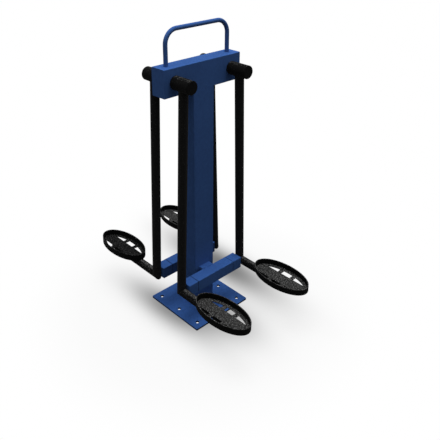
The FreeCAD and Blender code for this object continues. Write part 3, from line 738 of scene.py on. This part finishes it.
def stub_welds():
    for end_name, end in ENDS.items():
        low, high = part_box(f"bumper_stub_{end_name}")
        centre_z = middle(low.z, high.z)
        half_width = half_span(low.x, high.x)
        half_height = half_span(low.z, high.z)
        post_face = end * min(abs(low.y), abs(high.y))
        bar_face = end * max(abs(low.y), abs(high.y))
        ring = []
        for (x, z), (across, upward) in rounded_loop(half_width, half_height, BAR_CORNER):
            ring.append((Vector((x, post_face, centre_z + z)), Vector((across, end, upward)).normalized()))
        frame_weld(f"stub_post_weld_{end_name}", ring, SMALL_BEAD)
        for side_name, side in SIDES.items():
            run = half_height - BAR_CORNER
            out = Vector((side, -end, 0.0)).normalized()
            seam = [(Vector((side * half_width, bar_face, centre_z + z)), out) for z in (-run, run)]
            frame_weld(f"stub_bar_weld_{end_name}_{side_name}", seam, SMALL_BEAD, closed=False)


def axis_spot(node):
    """Where the axis of a node that runs front to back meets the middle plane."""
    low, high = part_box(node)
    return Vector((middle(low.x, high.x), 0.0, middle(low.z, high.z)))


def sleeve_welds():
    beam_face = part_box("crossbeam")[1].y
    for side_name in SIDES:
        sleeve = f"shaft_sleeve_{side_name}"
        low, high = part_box(sleeve)
        radius = half_span(low.x, high.x)
        for end_name, end in ENDS.items():
            outward = Vector((0.0, end, 0.0))
            centre = axis_spot(sleeve) + outward * beam_face
            ring = []
            for turn in even_turns(SLEEVE_SEAM_STEPS):
                flat = Vector((math.cos(turn), 0.0, math.sin(turn)))
                ring.append((centre + flat * radius, (flat + outward).normalized()))
            frame_weld(f"sleeve_weld_{end_name}_{side_name}", ring, SMALL_BEAD)


def arm_frame(end_name, side_name):
    """An arm's pivot, its ways down, outward along the hub and across, and how far down its foot is."""
    pivot = axis_spot(f"shaft_sleeve_{side_name}")
    fall = axis_spot(f"foot_tube_disc_{end_name}_{side_name}") - pivot
    down = fall.normalized()
    outward = Vector((0.0, ENDS[end_name], 0.0))
    return pivot, down, outward, outward.cross(down), fall.length


def arm_welds(end_name, side_name):
    name = f"{end_name}_{side_name}"
    body = f"{name}_arm"
    pivot, down, outward, across, reach = arm_frame(end_name, side_name)
    arm_low, arm_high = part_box(f"arm_tube_{name}")
    arm_plane = outward * abs(middle(arm_low.y, arm_high.y))
    tube = half_span(arm_low.y, arm_high.y)
    hub_low, hub_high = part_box(f"hub_housing_{name}")
    hub = half_span(hub_low.z, hub_high.z)
    saddle = []
    mitre = []
    for turn in even_turns(ARM_SEAM_STEPS):
        side_reach = tube * math.cos(turn)
        tube_normal = across * math.cos(turn) + outward * math.sin(turn)
        drop = math.sqrt(hub ** 2 - side_reach ** 2)
        hub_normal = (across * side_reach + down * drop) / hub
        on_tube = pivot + arm_plane + tube_normal * tube
        saddle.append((on_tube + down * drop, (tube_normal + hub_normal).normalized()))
        foot_normal = across * math.cos(turn) - down * math.sin(turn)
        on_mitre = on_tube + down * (reach - tube * math.sin(turn))
        mitre.append((on_mitre, (tube_normal + foot_normal).normalized()))
    weld_bead(f"hub_arm_weld_{name}", saddle, SMALL_BEAD, body, "black_coat")
    weld_bead(f"arm_mitre_weld_{name}", mitre, MITRE_BEAD, body, "black_coat")


post_welds()
handle_welds()
stub_welds()
sleeve_welds()
for end_name, side_name in ARMS:
    arm_welds(end_name, side_name)


# Floor, lights and camera.


def lay_floor():
    shape = bmesh.new()
    bmesh.ops.create_grid(shape, x_segments=1, y_segments=1, size=FLOOR_SIDE / 2)
    bmesh.ops.translate(shape, verts=shape.verts, vec=(0.0, 0.0, -FLOOR_DROP))
    mesh = bpy.data.meshes.new("floor")
    shape.to_mesh(mesh)
    shape.free()
    floor = bpy.data.objects.new("floor", mesh)
    bpy.context.scene.collection.objects.link(floor)
    mesh.materials.append(floor_paper())


def seen_share(tree):
    """1 for what the eye, a reflection or a clear pane looks at, 0 for light that bounces."""
    path = put(tree, "ShaderNodeLightPath").outputs
    mirrored = reckon(tree, "MAXIMUM", path["Is Glossy Ray"], path["Is Transmission Ray"])
    return reckon(tree, "MAXIMUM", path["Is Camera Ray"], mirrored)


def under_plate(tree, place):
    """1 on the floor under the base plate, which shows only through the anchor holes; there the floor is
    painted as plain lit white, with no shade.
    """
    plate_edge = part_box("base_plate")[1].x
    spot = split(tree, place)
    off_x = reckon(tree, "ABSOLUTE", spot["X"])
    off_y = reckon(tree, "ABSOLUTE", spot["Y"])
    return reckon(tree, "LESS_THAN", reckon(tree, "MAXIMUM", off_x, off_y), plate_edge - PLATE_MARGIN)


def painted_soft_shade(tree, place):
    """How pale the floor is under its painted shade: darkest under the trainer, white further off."""
    spot = split(tree, place)
    painted_paleness = 1.0
    for depth, (middle_x, middle_y), (soft_x, soft_y) in PAINTED_FLOOR_SHADES.values():
        share_x = reckon(tree, "DIVIDE", reckon(tree, "SUBTRACT", spot["X"], middle_x), soft_x)
        share_y = reckon(tree, "DIVIDE", reckon(tree, "SUBTRACT", spot["Y"], middle_y), soft_y)
        square_x = reckon(tree, "POWER", share_x, 2.0)
        square_y = reckon(tree, "POWER", share_y, 2.0)
        squares = reckon(tree, "ADD", square_x, square_y)
        thinning = reckon(tree, "MULTIPLY", reckon(tree, "POWER", squares, SHADE_POWER / 2), -1.0)
        shade = reckon(tree, "MULTIPLY", reckon(tree, "EXPONENT", thinning), depth)
        painted_paleness = reckon(tree, "SUBTRACT", painted_paleness, shade)
    return reckon(tree, "MAXIMUM", painted_paleness, 0.0)


def floor_paper():
    """White paper that takes part of the object's shadow, with painted shade under the trainer and painted
    plain light under the plate, and fades to plain white away from it.
    """
    paper = bpy.data.materials.new("floor_paper")
    paper.use_nodes = True
    tree = paper.node_tree
    tree.nodes.clear()
    seen = seen_share(tree)
    place = coordinates_of(tree)["Object"]
    distance = put(tree, "ShaderNodeVectorMath", {0: place}, operation="LENGTH").outputs["Value"]
    grain = noise(tree, place, FLOOR_GRAINS_PER_METRE)
    white = mix_colour(tree, grain, FLOOR_WHITE, FLOOR_PALE_GRAIN)
    # The floor under the plate is painted plain lit white, as painted light.
    painted_lit_in_holes = under_plate(tree, place)
    # The paleness is painted shade, lifted to plain white under the plate.
    painted_paleness = reckon(tree, "MAXIMUM", painted_soft_shade(tree, place), painted_lit_in_holes)
    shaded_white = mix_colour(tree, painted_paleness, NO_LIGHT, white)
    shadowed = put(tree, "ShaderNodeBsdfDiffuse", {"Color": shaded_white}).outputs["BSDF"]
    plain = put(tree, "ShaderNodeEmission", {"Strength": painted_paleness}).outputs["Emission"]
    clear_of_shadow = ease(tree, distance, *FLOOR_FADE, 1.0 - FLOOR_SHADOW_SHARE, 1.0)
    # Under the plate the real shadow is dropped as well, for the painted plain light.
    fade = reckon(tree, "MAXIMUM", clear_of_shadow, painted_lit_in_holes)
    looked_at = put(tree, "ShaderNodeMixShader", {0: fade, 1: shadowed, 2: plain}).outputs[0]
    bounce = put(tree, "ShaderNodeBsdfDiffuse", {"Color": FLOOR_BOUNCE}).outputs["BSDF"]
    surface = put(tree, "ShaderNodeMixShader", {0: seen, 1: bounce, 2: looked_at}).outputs[0]
    put(tree, "ShaderNodeOutputMaterial", {"Surface": surface})
    return paper


def dome_light(tree):
    """How much light comes from each direction of the dome."""
    way = coordinates_of(tree)["Generated"]
    height = reckon(tree, "MAXIMUM", split(tree, way)["Z"], 0.0)
    pool = reckon(tree, "MULTIPLY", reckon(tree, "POWER", height, OVERHEAD_SHARPNESS), OVERHEAD_POOL)
    lean = put(tree, "ShaderNodeVectorMath", {0: way, 1: OVERHEAD_LEAN}, operation="DOT_PRODUCT")
    lean_share = reckon(tree, "MAXIMUM", reckon(tree, "ADD", lean.outputs["Value"], 1.0), 0.0)
    return reckon(tree, "ADD", reckon(tree, "MULTIPLY", pool, lean_share), EVEN_FILL)


def light_scene():
    room = bpy.data.worlds.new("white_room")
    room.use_nodes = True
    tree = room.node_tree
    tree.nodes.clear()
    feeds = {"Factor": seen_share(tree), FIRST_VALUE: dome_light(tree), SECOND_VALUE: BACKDROP_STRENGTH}
    strength = put(tree, "ShaderNodeMix", feeds, data_type="FLOAT").outputs[MIXED_VALUE]
    backdrop = put(tree, "ShaderNodeBackground", {"Color": WHITE, "Strength": strength})
    put(tree, "ShaderNodeOutputWorld", {"Surface": backdrop.outputs["Background"]})
    bpy.context.scene.world = room


def hang_softbox():
    glow = bpy.data.lights.new("overhead_softbox", "AREA")
    glow.shape = "DISK"
    glow.size = SOFTBOX_ACROSS
    glow.energy = SOFTBOX_POWER
    softbox = bpy.data.objects.new("overhead_softbox", glow)
    softbox.location = SOFTBOX_SPOT
    bpy.context.scene.collection.objects.link(softbox)


def set_camera():
    lens = bpy.data.cameras.new("photo_camera")
    lens.lens = CAMERA_LENS_MM
    lens.sensor_width = CAMERA_SENSOR_MM
    lens.shift_x, lens.shift_y = CAMERA_SHIFT
    camera = bpy.data.objects.new("photo_camera", lens)
    camera.location = CAMERA_SPOT
    camera.rotation_euler = (CAMERA_TIP, 0.0, CAMERA_TURN)
    bpy.context.scene.collection.objects.link(camera)
    bpy.context.scene.camera = camera


lay_floor()
light_scene()
hang_softbox()
set_camera()
bpy.context.scene.view_settings.view_transform = "Standard"
